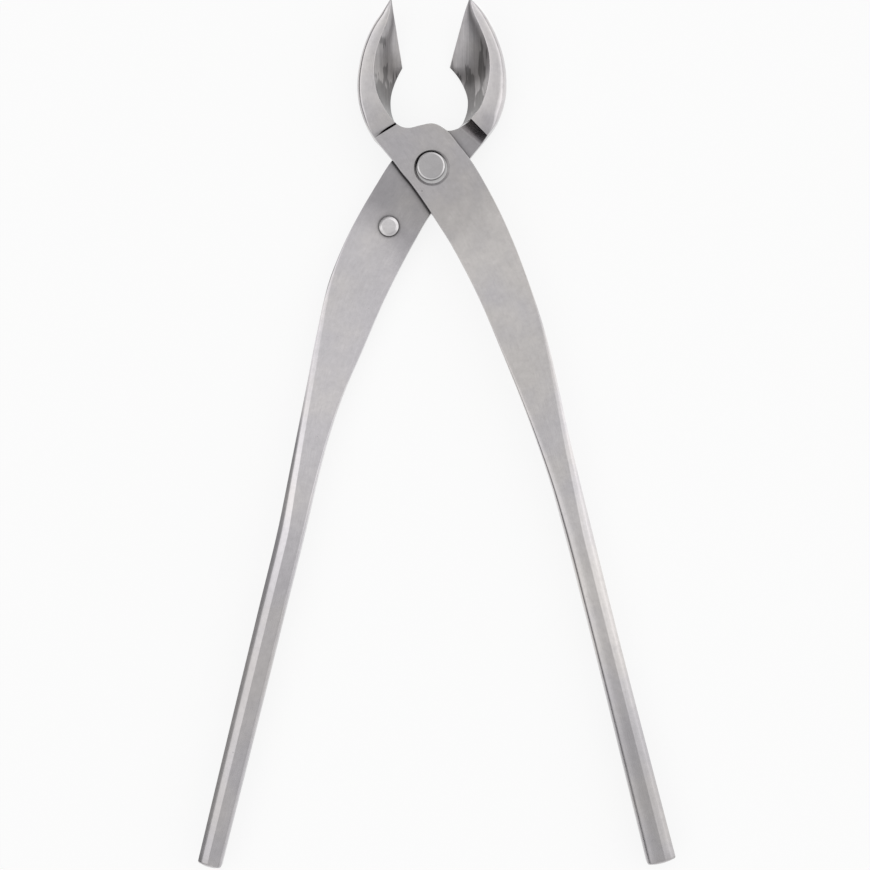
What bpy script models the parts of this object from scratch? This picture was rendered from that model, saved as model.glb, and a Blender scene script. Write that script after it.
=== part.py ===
"""Concave-jaw cutting pliers: two forged arms lapped on one pivot rivet, with a stop stud on the rear arm.

All sizes are millimetres until a mesh is made, and metres in the scene. The tool lies flat: the pivot axis is
+Z through the origin, the jaws point to +Y, and the rivet's tail face is the plane Z = 0. Each arm is a loft
along its length from the jaw's tip to the handle's end, and its sections run between three plan lines: the
back line (outside of the jaw, then inside of the handle), the rim of the hollow, and the mouth line (cutting
edge, throat, then outside of the handle). The rear arm is drawn on the same side as the front one, and
mirrored in X at the end.
"""

import math
from dataclasses import dataclass

import bmesh
import bpy
import numpy as np
from mathutils import Vector

MM = 0.001
COLLECTION = "concave_jaw_pliers"

# Heights of the stack, from the rivet's tail face up.
PLATE_THICKNESS = 4.6
LAP_GAP = 0.3
TAIL_HEAD_THICKNESS = 0.9
SEAT_GAP = 0.3
REAR_PLATE_BACK = TAIL_HEAD_THICKNESS + SEAT_GAP
REAR_PLATE_FRONT = REAR_PLATE_BACK + PLATE_THICKNESS
FRONT_PLATE_BACK = REAR_PLATE_FRONT + LAP_GAP
FRONT_PLATE_FRONT = FRONT_PLATE_BACK + PLATE_THICKNESS
MIDDLE = (REAR_PLATE_FRONT + FRONT_PLATE_BACK) / 2

# Jaw head, the same for both arms.
JAW_BACK = 0.3
JAW_FRONT = FRONT_PLATE_FRONT - 0.1
TIP_EDGE_DROP = 0.8
TIP_DEPTH = 1.6
CORNER_EDGE_HEIGHT = 0.5
HOLLOW_DEPTH = 0.8
RIM_ROUND = 0.12
EDGE_ROUND = 0.05
SHOULDER_RAMP = 3.2
SHOULDER_STEP = 1.1
NOTCH_WIDTH = 0.9
NOTCH_DEPTH = 1.4

# Pivot rivet and stop stud.
SHANK_DIAMETER = 6.0
SHANK_CLEARANCE = 0.1
HEAD_DIAMETER = 8.5
HEAD_PROUD = 1.1
SPOT_FACE_MARGIN = 1.3
SPOT_FACE_DEPTH = 0.5
SPOT_FACE_PLACE = (0.1, -0.25)
TAIL_HEAD_DIAMETER = 9.0
STUD_PLACE = (13.2, -17.9)
STUD_HEAD_DIAMETER = 6.1
STUD_PROUD = 1.5
STUD_SHANK_DIAMETER = 4.0
BEVEL = 0.45

# Arm edges: rounded over by this much at the joint, growing to the rod's rounded inside and faceted outside.
# The facets meet at this share of the corner's two setbacks. The neck's ends are distances below the pivot.
PLATE_EDGE_ROUND = 0.2
FACET_SHARE = 0.4
NECK_START = 34.0
ROD_START = 113.0
ROD_LENGTH = 106.4
REAR_ROD_EXTRA = 1.1
END_ROUND = 0.9
END_DOME = 0.8

RING_CORNER_STEPS = 4
HOLLOW_STEPS = 5
TURN_STEPS = 48


@dataclass(frozen=True)
class HandleStation:
    """One cross-cut of the handle: its centre, its width, and the arm's angle from -Y in degrees."""

    centre: tuple
    width: float
    lean: float

    def side(self, sign):
        """The point on the mouth side (sign 1) or on the back side (sign -1)."""
        lean = math.radians(self.lean)
        half = sign * self.width / 2
        return (self.centre[0] + half * math.cos(lean), self.centre[1] + half * math.sin(lean))


@dataclass(frozen=True)
class ArmPlan:
    """Plan of one arm with its jaw on the -X side: jaw, plate and neck stations, then a straight rod.

    The jaw's station numbered corner is the cutting edge's back corner. The rod runs on from the last neck
    station, with rod_widths spaced evenly along it. A rod round is the share of the section's width, then of
    its height, that each corner on that side takes up.
    """

    name: str
    jaw: tuple
    corner: int
    plate: tuple
    neck: tuple
    rod_length: float
    rod_lean: float
    rod_widths: tuple
    plate_back: float
    plate_front: float
    shoulder_in_front: bool
    band_round: float
    back_round_start: float
    mouth_round_start: float
    rod_back_round: tuple
    rod_mouth_round: tuple
    mirrored: bool

    def handle(self):
        """All cross-cuts of the handle, from the neck to the rod's end."""
        start = self.neck[-1].centre
        lean = math.radians(self.rod_lean)
        steps = len(self.rod_widths)
        rod = []
        for step, width in enumerate(self.rod_widths, 1):
            along = self.rod_length * step / steps
            centre = (start[0] + along * math.sin(lean), start[1] - along * math.cos(lean))
            rod.append(HandleStation(centre, width, self.rod_lean))
        return list(self.neck) + rod


# Each jaw station is (back, rim, mouth), from the tip to the shoulder.
FRONT_ARM = ArmPlan(
    name="front_arm",
    jaw=(
        ((-12.75, 51.75), (-12.5, 51.7), (-12.25, 51.6)),
        ((-15.0, 48.4), (-12.8, 48.3), (-11.8, 48.2)),
        ((-17.9, 44.1), (-14.0, 44.3), (-11.1, 44.3)),
        ((-20.2, 39.3), (-15.9, 39.5), (-10.35, 39.6)),
        ((-21.6, 35.0), (-17.1, 35.6), (-9.7, 35.8)),
        ((-22.4, 31.0), (-17.7, 31.6), (-9.05, 31.9)),
        ((-22.9, 26.5), (-17.6, 27.0), (-11.4, 27.2)),
        ((-22.75, 22.1), (-16.6, 22.4), (-12.65, 22.8)),
        ((-21.95, 17.8), (-14.9, 18.9), (-12.65, 18.8)),
        ((-20.25, 13.4), (-12.85, 15.6), (-11.8, 15.7)),
        ((-17.6, 9.0), (-10.6, 13.3), (-10.6, 13.3)),
    ),
    corner=5,
    plate=(
        ((-14.8, 5.5), (-6.8, 12.1)),
        ((-12.8, 3.1), (-3.4, 12.9)),
        ((-11.2, 1.1), (0.2, 13.5)),
        ((-9.2, -1.6), (4.3, 11.6)),
        ((-6.6, -4.7), (8.5, 6.8)),
        ((-2.3, -10.7), (12.6, 1.4)),
        ((1.7, -16.8), (16.9, -5.8)),
        ((5.4, -22.6), (20.8, -13.2)),
        ((9.4, -29.8), (25.0, -22.5)),
        ((14.9, -40.8), (30.2, -36.2)),
    ),
    neck=(
        HandleStation((28.6, -54.65), 14.4, 18.4),
        HandleStation((33.1, -68.6), 12.2, 17.2),
        HandleStation((37.2, -82.5), 10.1, 16.3),
        HandleStation((41.2, -96.5), 8.8, 15.3),
        HandleStation((44.9, -110.5), 8.4, 14.4),
    ),
    rod_length=ROD_LENGTH,
    rod_lean=14.2,
    rod_widths=(8.1, 8.15, 8.5, 8.9),
    plate_back=FRONT_PLATE_BACK,
    plate_front=FRONT_PLATE_FRONT,
    shoulder_in_front=False,
    band_round=1.3,
    back_round_start=44.0,
    mouth_round_start=36.0,
    rod_back_round=(0.46, 0.22),
    rod_mouth_round=(0.38, 0.20),
    mirrored=False,
)

REAR_ARM = ArmPlan(
    name="rear_arm",
    jaw=(
        ((-12.2, 51.75), (-11.9, 51.7), (-11.5, 51.6)),
        ((-15.6, 48.4), (-12.75, 48.3), (-10.25, 48.2)),
        ((-18.5, 43.9), (-14.6, 44.1), (-9.1, 44.3)),
        ((-20.7, 39.1), (-16.6, 39.3), (-7.75, 39.6)),
        ((-22.1, 34.9), (-17.7, 35.2), (-6.65, 35.8)),
        ((-22.9, 30.8), (-17.95, 31.2), (-5.65, 32.1)),
        ((-23.2, 26.3), (-17.5, 26.6), (-9.2, 27.6)),
        ((-22.95, 21.9), (-16.5, 22.4), (-11.2, 22.5)),
        ((-22.0, 17.9), (-15.1, 18.7), (-11.15, 18.9)),
        ((-20.2, 13.8), (-13.5, 16.6), (-10.3, 16.0)),
        ((-17.2, 9.7), (-12.2, 14.9), (-9.4, 14.3)),
    ),
    corner=5,
    plate=(
        ((-13.8, 5.6), (-6.3, 11.9)),
        ((-11.0, 2.0), (-1.4, 12.3)),
        ((-9.0, -1.3), (4.2, 11.2)),
        ((-6.4, -5.0), (8.5, 6.8)),
        ((-2.6, -10.2), (12.7, 2.0)),
        ((1.4, -15.6), (17.2, -5.1)),
        ((5.2, -22.2), (21.7, -12.7)),
        ((9.1, -29.4), (26.4, -21.6)),
        ((14.6, -40.4), (31.6, -34.4)),
    ),
    neck=(
        HandleStation((28.8, -54.65), 14.8, 17.4),
        HandleStation((33.05, -68.6), 11.6, 15.9),
        HandleStation((36.7, -82.5), 9.7, 14.3),
        HandleStation((39.9, -96.5), 8.8, 13.2),
        HandleStation((42.9, -110.5), 8.4, 13.2),
    ),
    rod_length=ROD_LENGTH + REAR_ROD_EXTRA,
    rod_lean=13.8,
    rod_widths=(8.15, 8.0, 7.75, 7.4),
    plate_back=REAR_PLATE_BACK,
    plate_front=REAR_PLATE_FRONT,
    shoulder_in_front=True,
    band_round=2.6,
    back_round_start=52.0,
    mouth_round_start=20.0,
    rod_back_round=(0.14, 0.20),
    rod_mouth_round=(0.42, 0.21),
    mirrored=True,
)


@dataclass(frozen=True)
class Finish:
    """Colour, roughness and metallic value of one sub-part."""

    name: str
    colour: tuple
    roughness: float
    metallic: float = 1.0

    def material(self):
        made = bpy.data.materials.new(self.name)
        made.use_nodes = True
        shader = made.node_tree.nodes["Principled BSDF"]
        shader.inputs["Base Color"].default_value = (*self.colour, 1.0)
        shader.inputs["Roughness"].default_value = self.roughness
        shader.inputs["Metallic"].default_value = self.metallic
        return made


def smooth_through(knots, values, at, corner=None):
    """Values on a smooth curve through the given ones, which may turn sharply at one knot."""
    values = np.asarray(values, float)
    result = np.empty((len(at),) + values.shape[1:])
    ends = [0, len(knots) - 1] if corner is None else [0, corner, len(knots) - 1]
    for first, last in zip(ends, ends[1:]):
        x, y = knots[first : last + 1], values[first : last + 1]
        slope = np.gradient(y, x, axis=0, edge_order=2)
        inside = (at >= x[0]) & (at <= x[-1])
        span = np.clip(np.searchsorted(x, at[inside], side="right") - 1, 0, len(x) - 2)
        width = (x[span + 1] - x[span])[:, None]
        t = (at[inside] - x[span])[:, None] / width
        result[inside] = (
            y[span] * (1 + 2 * t) * (1 - t) ** 2
            + slope[span] * width * t * (1 - t) ** 2
            + y[span + 1] * t**2 * (3 - 2 * t)
            + slope[span + 1] * width * t**2 * (t - 1)
        )
    return result


def blend(a, b, share):
    return a + (b - a) * share


def ease(share):
    """Turns a share from 0 to 1 into one that starts and ends level."""
    share = min(max(share, 0.0), 1.0)
    return share * share * (3 - 2 * share)


class ArmLoft:
    """The sections of one arm, worked out from its plan."""

    def __init__(self, plan):
        self.plan = plan
        plate = [(back, mouth, mouth) for back, mouth in plan.plate]
        self.handle = plan.handle()
        handle = [(s.side(-1), s.side(1), s.side(1)) for s in self.handle]
        self.rails = np.array(list(plan.jaw) + plate + handle)
        middle = self.rails[:, [0, 2]].mean(axis=1)
        steps = np.linalg.norm(np.diff(middle, axis=0), axis=1)
        self.knots = np.concatenate([[0.0], np.cumsum(steps)])
        self.corner = self.knots[plan.corner]
        self.seam = self.knots[len(plan.jaw) - 1]
        self.length = self.knots[-1]
        self.neck_start = self.station_at(NECK_START)
        self.rod_start = self.station_at(ROD_START)
        widths = np.linalg.norm(self.rails[:, 2] - self.rails[:, 0], axis=1)
        self.rod_radius = float(np.interp(self.rod_start, self.knots, widths)) / 2

    def station_at(self, reach):
        """The distance along the arm at which it is this far below the pivot."""
        below = len(self.plan.jaw)
        middle = self.rails[below:, [0, 2], 1].mean(axis=1)
        return float(np.interp(reach, -middle, self.knots[below:]))

    def distances(self):
        """Where the sections stand: close together at the tip and at the shoulder."""
        tip = self.corner * (1 - np.cos(np.linspace(0, math.pi / 2, 9)))
        throat = np.linspace(self.corner, self.seam - NOTCH_WIDTH, 10)
        ramp = self.seam + SHOULDER_RAMP * np.array([-0.02, 0.02, 0.05, 0.2, 0.4, 0.65, 1.0])
        plate = np.linspace(self.seam + SHOULDER_RAMP, self.neck_start, 22)
        neck = np.linspace(self.neck_start, self.rod_start, 12)
        rod = np.linspace(neck[-1], self.length, 6)
        return np.unique(np.concatenate([tip, throat, ramp, plate, neck, rod]))

    def corners(self, distance, back, rim, mouth):
        """The section's four corners (back low, back high, rim, mouth low) as points in space."""
        plan = self.plan
        if distance < self.corner:
            share = distance / self.corner
            nose = 1 - math.sqrt(1 - (1 - share) ** 2)
            low = JAW_BACK + (JAW_FRONT - TIP_DEPTH - JAW_BACK) * nose
            edge = blend(JAW_FRONT - TIP_EDGE_DROP, JAW_BACK + CORNER_EDGE_HEIGHT, share)
            high = JAW_FRONT - 0.3 * (1 - share) ** 4
            return self.box(back, rim, mouth, (low, high, high, edge))
        past = distance - self.seam
        if past < 0:
            fade = (distance - self.corner) / (self.seam - self.corner)
            edge = JAW_BACK + CORNER_EDGE_HEIGHT * (1 - fade)
            notch = 0.0 if plan.shoulder_in_front else NOTCH_DEPTH * ease(1 + past / NOTCH_WIDTH)
            return self.box(back, rim, mouth, (JAW_BACK, JAW_FRONT, JAW_FRONT - notch, edge))
        ramp = 1 - min(past / SHOULDER_RAMP, 1.0)
        low = blend(plan.plate_back, JAW_BACK, ramp**2)
        high = plan.plate_front
        if plan.shoulder_in_front and ramp > 0:
            drop = SHOULDER_STEP * min(past / (0.05 * SHOULDER_RAMP), 1.0)
            high = blend(plan.plate_front, JAW_FRONT - drop, ramp**2)
        roundness = ease((distance - self.neck_start) / (self.rod_start - self.neck_start))
        half = self.rod_radius
        if distance > self.rod_start:
            half = np.linalg.norm(np.subtract(mouth, back)) / 2
        low = blend(low, MIDDLE - half, roundness)
        high = blend(high, MIDDLE + half, roundness)
        return self.box(back, rim, mouth, (low, high, high, low))

    @staticmethod
    def box(back, rim, mouth, heights):
        places = (back, back, rim, mouth)
        return [np.array((*place, height)) for place, height in zip(places, heights)]

    def rounding(self, distance, corners):
        """How far each of the four corners is rounded back, (along the wall, along the face), and how far the
        mouth side's corners are faceted rather than round, from 0 to 1."""
        low, high, rim, mouth = corners
        band = np.linalg.norm(rim - high)
        wall = np.linalg.norm(high - low)
        start = self.seam
        if distance <= start:
            fade = ease((start - distance) / (0.35 * (start - self.corner)))
            side = min(blend(PLATE_EDGE_ROUND, self.plan.band_round, fade), 0.45 * band)
            rise = min(1.4 * side, 0.4 * wall)
            sharp = [(min(RIM_ROUND, 0.3 * band),) * 2, (EDGE_ROUND,) * 2]
            return [(rise, 0.6 * side), (rise, side)] + sharp, 0.0
        pairs = []
        for begin, (face_share, wall_share) in (
            (self.plan.back_round_start, self.plan.rod_back_round),
            (self.plan.mouth_round_start, self.plan.rod_mouth_round),
        ):
            begins = self.station_at(begin)
            share = min(max((distance - begins) / (self.rod_start - begins), 0.0), 1.0)
            grown = share**1.5
            along_wall = blend(PLATE_EDGE_ROUND, wall * wall_share, grown)
            pairs.append((along_wall, blend(PLATE_EDGE_ROUND, band * face_share, grown)))
        near, far = pairs
        return [near, near, far, far], ease(3 * share)

    def ring(self, distance, back, rim, mouth):
        """The closed section as points, from the back's low corner over the front to the mouth's."""
        corners = self.corners(distance, back, rim, mouth)
        low, high, top, edge = corners
        setbacks, facet = self.rounding(distance, corners)
        jaw = max(0.0, min((self.seam - distance) / (self.seam - self.corner), 1.0))
        width = np.linalg.norm(edge - top)
        bulge = HOLLOW_DEPTH * ease(jaw) * min(1.0, width / 9.0)
        chord = (edge - top) / max(width, 1e-9)
        across = np.array((*np.subtract(mouth, back), 0.0))
        across /= np.linalg.norm(across)
        inward = np.array((0.0, 0.0, -1.0)) * abs(chord @ across) - across * abs(chord[2])

        def hollow(share):
            return blend(top, edge, share) + inward * bulge * 4 * share * (1 - share)

        def toward(a, b, by):
            return a + (b - a) * (by / max(np.linalg.norm(b - a), 1e-9))

        rim_share = min(setbacks[2][0] / width, 0.5)
        edge_share = 1 - min(setbacks[3][0] / width, 0.5)
        points = rounded(toward(low, edge, setbacks[0][1]), low, toward(low, high, setbacks[0][0]))
        points += rounded(toward(high, low, setbacks[1][0]), high, toward(high, top, setbacks[1][1]))
        points += rounded(toward(top, high, setbacks[2][1]), top, hollow(rim_share), facet)
        for step in range(1, HOLLOW_STEPS):
            points.append(hollow(blend(rim_share, edge_share, step / HOLLOW_STEPS)))
        points += rounded(hollow(edge_share), edge, toward(edge, low, setbacks[3][1]), facet)
        return points

    def rings(self):
        """All sections from the tip to the handle's domed end."""
        where = self.distances()
        rails = [
            smooth_through(self.knots, self.rails[:, 0], where),
            smooth_through(self.knots, self.rails[:, 1], where, len(self.plan.jaw) - 1),
            smooth_through(self.knots, self.rails[:, 2], where, self.plan.corner),
        ]
        rings = [self.ring(d, *(rail[i] for rail in rails)) for i, d in enumerate(where)]
        last = self.handle[-1]
        lean = math.radians(last.lean)
        axis = np.array((math.sin(lean), -math.cos(lean), 0.0))
        centre = np.array((*last.centre, MIDDLE))
        radius = last.width / 2
        for angle in np.linspace(0, math.pi / 2, 5)[1:]:
            shrink = 1 - END_ROUND / radius * (1 - math.cos(angle))
            along = axis * END_ROUND * math.sin(angle)
            rings.append([centre + (p - centre) * shrink + along for p in rings[len(where) - 1]])
        flat = rings[-1]
        for share in (0.6, 0.25):
            dome = axis * END_DOME * (1 - share**2)
            middle = centre + axis * END_ROUND
            rings.append([middle + (p - middle) * share + dome for p in flat])
        return rings


def rounded(start, corner, end, facet=0.0):
    """Points of an elliptical arc between a corner's two sides, mixed with two facets by the share facet."""
    weight = math.sqrt(0.5)
    crease = corner + (start + end - 2 * corner) * FACET_SHARE
    points = []
    for step in range(RING_CORNER_STEPS + 1):
        t = step / RING_CORNER_STEPS
        parts = ((1 - t) ** 2, 2 * weight * t * (1 - t), t**2)
        arc = (start * parts[0] + corner * parts[1] + end * parts[2]) / sum(parts)
        flat = blend(start, crease, 2 * t) if t < 0.5 else blend(crease, end, 2 * t - 1)
        points.append(blend(arc, flat, facet))
    return points


def loft(name, rings, mirrored):
    """A closed mesh over rings of the same number of points, the last one closed by a fan."""
    count = len(rings[0])
    points = [(p[0] * (-1 if mirrored else 1) * MM, p[1] * MM, p[2] * MM) for ring in rings for p in ring]
    shape = bmesh.new()
    vertices = [shape.verts.new(p) for p in points]
    rows = [vertices[i * count : (i + 1) * count] for i in range(len(rings))]
    for row, after in zip(rows, rows[1:]):
        for i in range(count):
            j = (i + 1) % count
            shape.faces.new((row[i], row[j], after[j], after[i]))
    shape.faces.new(reversed(rows[0]))
    end = rows[-1]
    middle = shape.verts.new(sum((v.co for v in end), Vector()) / count)
    for i in range(count):
        shape.faces.new((end[i], end[(i + 1) % count], middle))
    bmesh.ops.triangulate(shape, faces=shape.faces[:])
    bmesh.ops.recalc_face_normals(shape, faces=shape.faces[:])
    mesh = bpy.data.meshes.new(name)
    shape.to_mesh(mesh)
    shape.free()
    return mesh


def turned(name, profile, place, collection):
    """A turned solid about Z, whose (radius, height) profile runs down its outer side, top to bottom."""
    mesh = bpy.data.meshes.new(name)
    points = [(radius * MM, 0.0, height * MM) for radius, height in profile]
    mesh.from_pydata(points, [(i, i + 1) for i in range(len(points) - 1)], [])
    made = bpy.data.objects.new(name, mesh)
    made.location = (place[0] * MM, place[1] * MM, 0.0)
    collection.objects.link(made)
    screw = made.modifiers.new("turn", "SCREW")
    screw.steps = screw.render_steps = TURN_STEPS
    screw.use_merge_vertices = True
    screw.merge_threshold = 0.00001
    screw.use_smooth_shade = True
    return made


def drill(arm, name, profile, place, cutters):
    """Cuts a turned hole in an arm."""
    cutter = turned(name, profile, place, cutters)
    cutter.hide_render = True
    cutter.display_type = "WIRE"
    cut = arm.modifiers.new(name, "BOOLEAN")
    cut.operation = "DIFFERENCE"
    cut.solver = "EXACT"
    cut.object = cutter


def straight_hole(radius, low, high):
    return [(0.0, high), (radius, high), (radius, low), (0.0, low)]


def make_arm(plan, finish, parts):
    mesh = loft(plan.name, ArmLoft(plan).rings(), plan.mirrored)
    mesh.shade_smooth()
    mesh.set_sharp_from_angle(angle=math.radians(35))
    arm = bpy.data.objects.new(plan.name, mesh)
    arm.data.materials.append(finish.material())
    parts.objects.link(arm)
    return arm


def make_rivet(finish, parts):
    """Pivot rivet: bevelled head in the spot face, shank through both plates, flat tail head behind."""
    shank, head, tail = SHANK_DIAMETER / 2, HEAD_DIAMETER / 2, TAIL_HEAD_DIAMETER / 2
    top = FRONT_PLATE_FRONT + HEAD_PROUD
    under = FRONT_PLATE_FRONT - SPOT_FACE_DEPTH + SEAT_GAP
    profile = [
        (0.0, top),
        (head - BEVEL, top),
        (head, top - BEVEL),
        (head, under),
        (shank, under),
        (shank, TAIL_HEAD_THICKNESS),
        (tail, TAIL_HEAD_THICKNESS),
        (tail, BEVEL),
        (tail - BEVEL, 0.0),
        (0.0, 0.0),
    ]
    rivet = turned("pivot_rivet", profile, (0.0, 0.0), parts)
    rivet.data.materials.append(finish.material())
    return rivet


def make_stud(finish, parts):
    """Stop stud: a bevelled head in front of the rear plate on a shank pressed through it."""
    head, shank = STUD_HEAD_DIAMETER / 2, STUD_SHANK_DIAMETER / 2
    top = REAR_PLATE_FRONT + STUD_PROUD
    under = REAR_PLATE_FRONT + SEAT_GAP
    foot = REAR_PLATE_BACK + SHANK_CLEARANCE
    profile = [
        (0.0, top),
        (head - 2 * BEVEL, top),
        (head, top - BEVEL),
        (head, under),
        (shank, under),
        (shank, foot),
        (0.0, foot),
    ]
    stud = turned("stop_stud", profile, (-STUD_PLACE[0], STUD_PLACE[1]), parts)
    stud.data.materials.append(finish.material())
    return stud


def collection(name):
    made = bpy.data.collections.new(name)
    bpy.context.scene.collection.children.link(made)
    return made


def main():
    for old in list(bpy.data.objects):
        bpy.data.objects.remove(old)
    parts = collection(COLLECTION)
    cutters = collection("cutters")
    cutters.hide_render = True

    front = make_arm(FRONT_ARM, Finish("front_arm_steel", (0.46, 0.44, 0.44), 0.36), parts)
    rear = make_arm(REAR_ARM, Finish("rear_arm_steel", (0.43, 0.41, 0.40), 0.38), parts)
    make_rivet(Finish("rivet_steel", (0.42, 0.41, 0.42), 0.32), parts)
    make_stud(Finish("stud_steel", (0.52, 0.50, 0.52), 0.28), parts)

    bore = SHANK_DIAMETER / 2 + SHANK_CLEARANCE
    spot = HEAD_DIAMETER / 2 + SPOT_FACE_MARGIN
    spot_floor = FRONT_PLATE_FRONT - SPOT_FACE_DEPTH
    above = FRONT_PLATE_FRONT + 1.0
    drill(front, "spot_face", straight_hole(spot, spot_floor, above), SPOT_FACE_PLACE, cutters)
    through = (FRONT_PLATE_BACK - LAP_GAP / 2, FRONT_PLATE_FRONT)
    drill(front, "front_bore", straight_hole(bore, *through), (0.0, 0.0), cutters)
    through = (REAR_PLATE_BACK - LAP_GAP / 2, REAR_PLATE_FRONT + LAP_GAP / 2)
    drill(rear, "rear_bore", straight_hole(bore, *through), (0.0, 0.0), cutters)
    stud_bore = STUD_SHANK_DIAMETER / 2 + SHANK_CLEARANCE
    drill(rear, "stud_bore", straight_hole(stud_bore, *through), (-STUD_PLACE[0], STUD_PLACE[1]), cutters)


main()
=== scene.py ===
"""Looks of the concave-jaw cutting pliers: two ground steel arms, their pivot rivet and the stop stud.

Every piece is rebuilt as a fine surface in the place of its CAD node. Lengths are millimetres in the classes
below and metres in the meshes. Heights come from the CAD frame; the plan of the arms follows the same law as
the CAD arms, which are lofts between a back line, a hollow's rim and a mouth line.
"""

from __future__ import annotations

import logging
import math
from dataclasses import dataclass, field
from enum import Enum

import bpy
import numpy as np
from mathutils import Matrix, Vector


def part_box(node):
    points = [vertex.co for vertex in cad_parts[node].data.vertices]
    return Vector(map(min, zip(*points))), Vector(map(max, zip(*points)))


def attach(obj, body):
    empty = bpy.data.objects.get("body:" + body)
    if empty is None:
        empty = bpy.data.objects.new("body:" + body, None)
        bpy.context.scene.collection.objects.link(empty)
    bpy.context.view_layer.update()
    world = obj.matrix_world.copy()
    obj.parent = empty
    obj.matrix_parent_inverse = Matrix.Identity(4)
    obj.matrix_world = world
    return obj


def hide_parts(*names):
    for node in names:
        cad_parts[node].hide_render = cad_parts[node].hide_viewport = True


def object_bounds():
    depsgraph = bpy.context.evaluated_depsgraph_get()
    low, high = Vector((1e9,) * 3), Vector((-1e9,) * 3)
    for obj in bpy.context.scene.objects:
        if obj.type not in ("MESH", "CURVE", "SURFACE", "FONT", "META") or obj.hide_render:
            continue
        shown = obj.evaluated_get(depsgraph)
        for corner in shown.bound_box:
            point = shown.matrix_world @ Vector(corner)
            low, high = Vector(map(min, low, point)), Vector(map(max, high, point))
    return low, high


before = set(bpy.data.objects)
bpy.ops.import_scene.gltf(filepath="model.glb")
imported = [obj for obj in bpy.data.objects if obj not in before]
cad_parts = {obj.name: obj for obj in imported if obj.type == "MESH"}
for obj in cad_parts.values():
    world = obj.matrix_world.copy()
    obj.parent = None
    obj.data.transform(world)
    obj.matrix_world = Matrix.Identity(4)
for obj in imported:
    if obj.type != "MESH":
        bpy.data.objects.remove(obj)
CAD_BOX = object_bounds()

MM = 0.001
CLOSING_DISTANCE = 0.002
CUT_CREASE = 40.0
NOWHERE = (0.0, 0.0, 0.0)
LOG = logging.getLogger("pliers")

Point = tuple[float, float]
Colour = tuple[float, float, float]
Array = np.ndarray


class Grain(Enum):
    """How a surface was ground, which sets the lie of its fine lines."""

    ALONG_ARM = "along the arm"
    TURNED = "in circles round the piece's axis"


class ArmSide(Enum):
    """Which of the two arms, by its place in the lap."""

    FRONT = "front_arm"
    REAR = "rear_arm"


def heights(node: str) -> tuple[float, float]:
    """Lowest and highest Z of a CAD node.

    Args:
        node: the node's name.

    Returns:
        The two heights in millimetres.
    """
    low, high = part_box(node)
    return low[2] / MM, high[2] / MM


def stand(name: str, data: bpy.types.ID) -> bpy.types.Object:
    """Puts an object that shows this data in the scene."""
    made = bpy.data.objects.new(name, data)
    bpy.context.scene.collection.objects.link(made)
    return made


def blend(a: float | Array, b: float | Array, share: float) -> float | Array:
    """Straight mix from a (share 0) to b (share 1)."""
    return a + (b - a) * share


def ease(share: float) -> float:
    """Turns a share from 0 to 1 into one that starts and ends level."""
    share = min(max(share, 0.0), 1.0)
    return share * share * (3 - 2 * share)


def toward(start: Array, goal: Array, by: float) -> Array:
    """The point this far from start on the way to goal."""
    return start + (goal - start) * (by / max(float(np.linalg.norm(goal - start)), 1e-9))


def smooth_through(knots: Array, values: Array, at: Array, corner: int | None = None) -> Array:
    """Values on a smooth curve through given ones.

    Args:
        knots: distances at which the values are given.
        values: one row for each knot.
        at: the distances wanted.
        corner: a knot at which the curve may turn sharply.

    Returns:
        One row for each distance wanted.
    """
    result = np.empty((len(at),) + values.shape[1:])
    ends = [0, len(knots) - 1] if corner is None else [0, corner, len(knots) - 1]
    for first, last in zip(ends, ends[1:]):
        x, y = knots[first : last + 1], values[first : last + 1]
        slope = np.gradient(y, x, axis=0, edge_order=2)
        inside = (at >= x[0]) & (at <= x[-1])
        span = np.clip(np.searchsorted(x, at[inside], side="right") - 1, 0, len(x) - 2)
        width = (x[span + 1] - x[span])[:, None]
        t = (at[inside] - x[span])[:, None] / width
        result[inside] = (
            y[span] * (1 + 2 * t) * (1 - t) ** 2
            + slope[span] * width * t * (1 - t) ** 2
            + y[span + 1] * t**2 * (3 - 2 * t)
            + slope[span + 1] * width * t**2 * (t - 1)
        )
    return result


# Node trees


class Value:
    """A number or a vector that a node tree works out; arithmetic on it adds nodes."""

    def __init__(self, write: TreeWriter, socket: bpy.types.NodeSocket) -> None:
        """Keeps the socket, and the writer of its tree."""
        self.write, self.socket = write, socket

    def __add__(self, other: Value | float) -> Value:
        """The sum."""
        return self.write.math("ADD", self, other)

    def __mul__(self, other: Value | float) -> Value:
        """The product."""
        return self.write.math("MULTIPLY", self, other)

    def scaled(self, by: Value | float, plus: Value | float) -> Value:
        """The value times one thing plus another."""
        return self.write.math("MULTIPLY_ADD", self, by, plus)

    def swing(self, by: float, middle: float = 1.0) -> Value:
        """A range of this width round a middle, for a value that wanders about 0.5."""
        return self.scaled(by, middle - by / 2)

    def fade(self, by: float) -> Value:
        """1 where the value is 0, and less by this where it is 1."""
        return self.scaled(-by, 1.0)

    def lift(self, by: float) -> Value:
        """1 where the value is 1, and less by this where it is 0."""
        return self.scaled(by, 1.0 - by)


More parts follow.
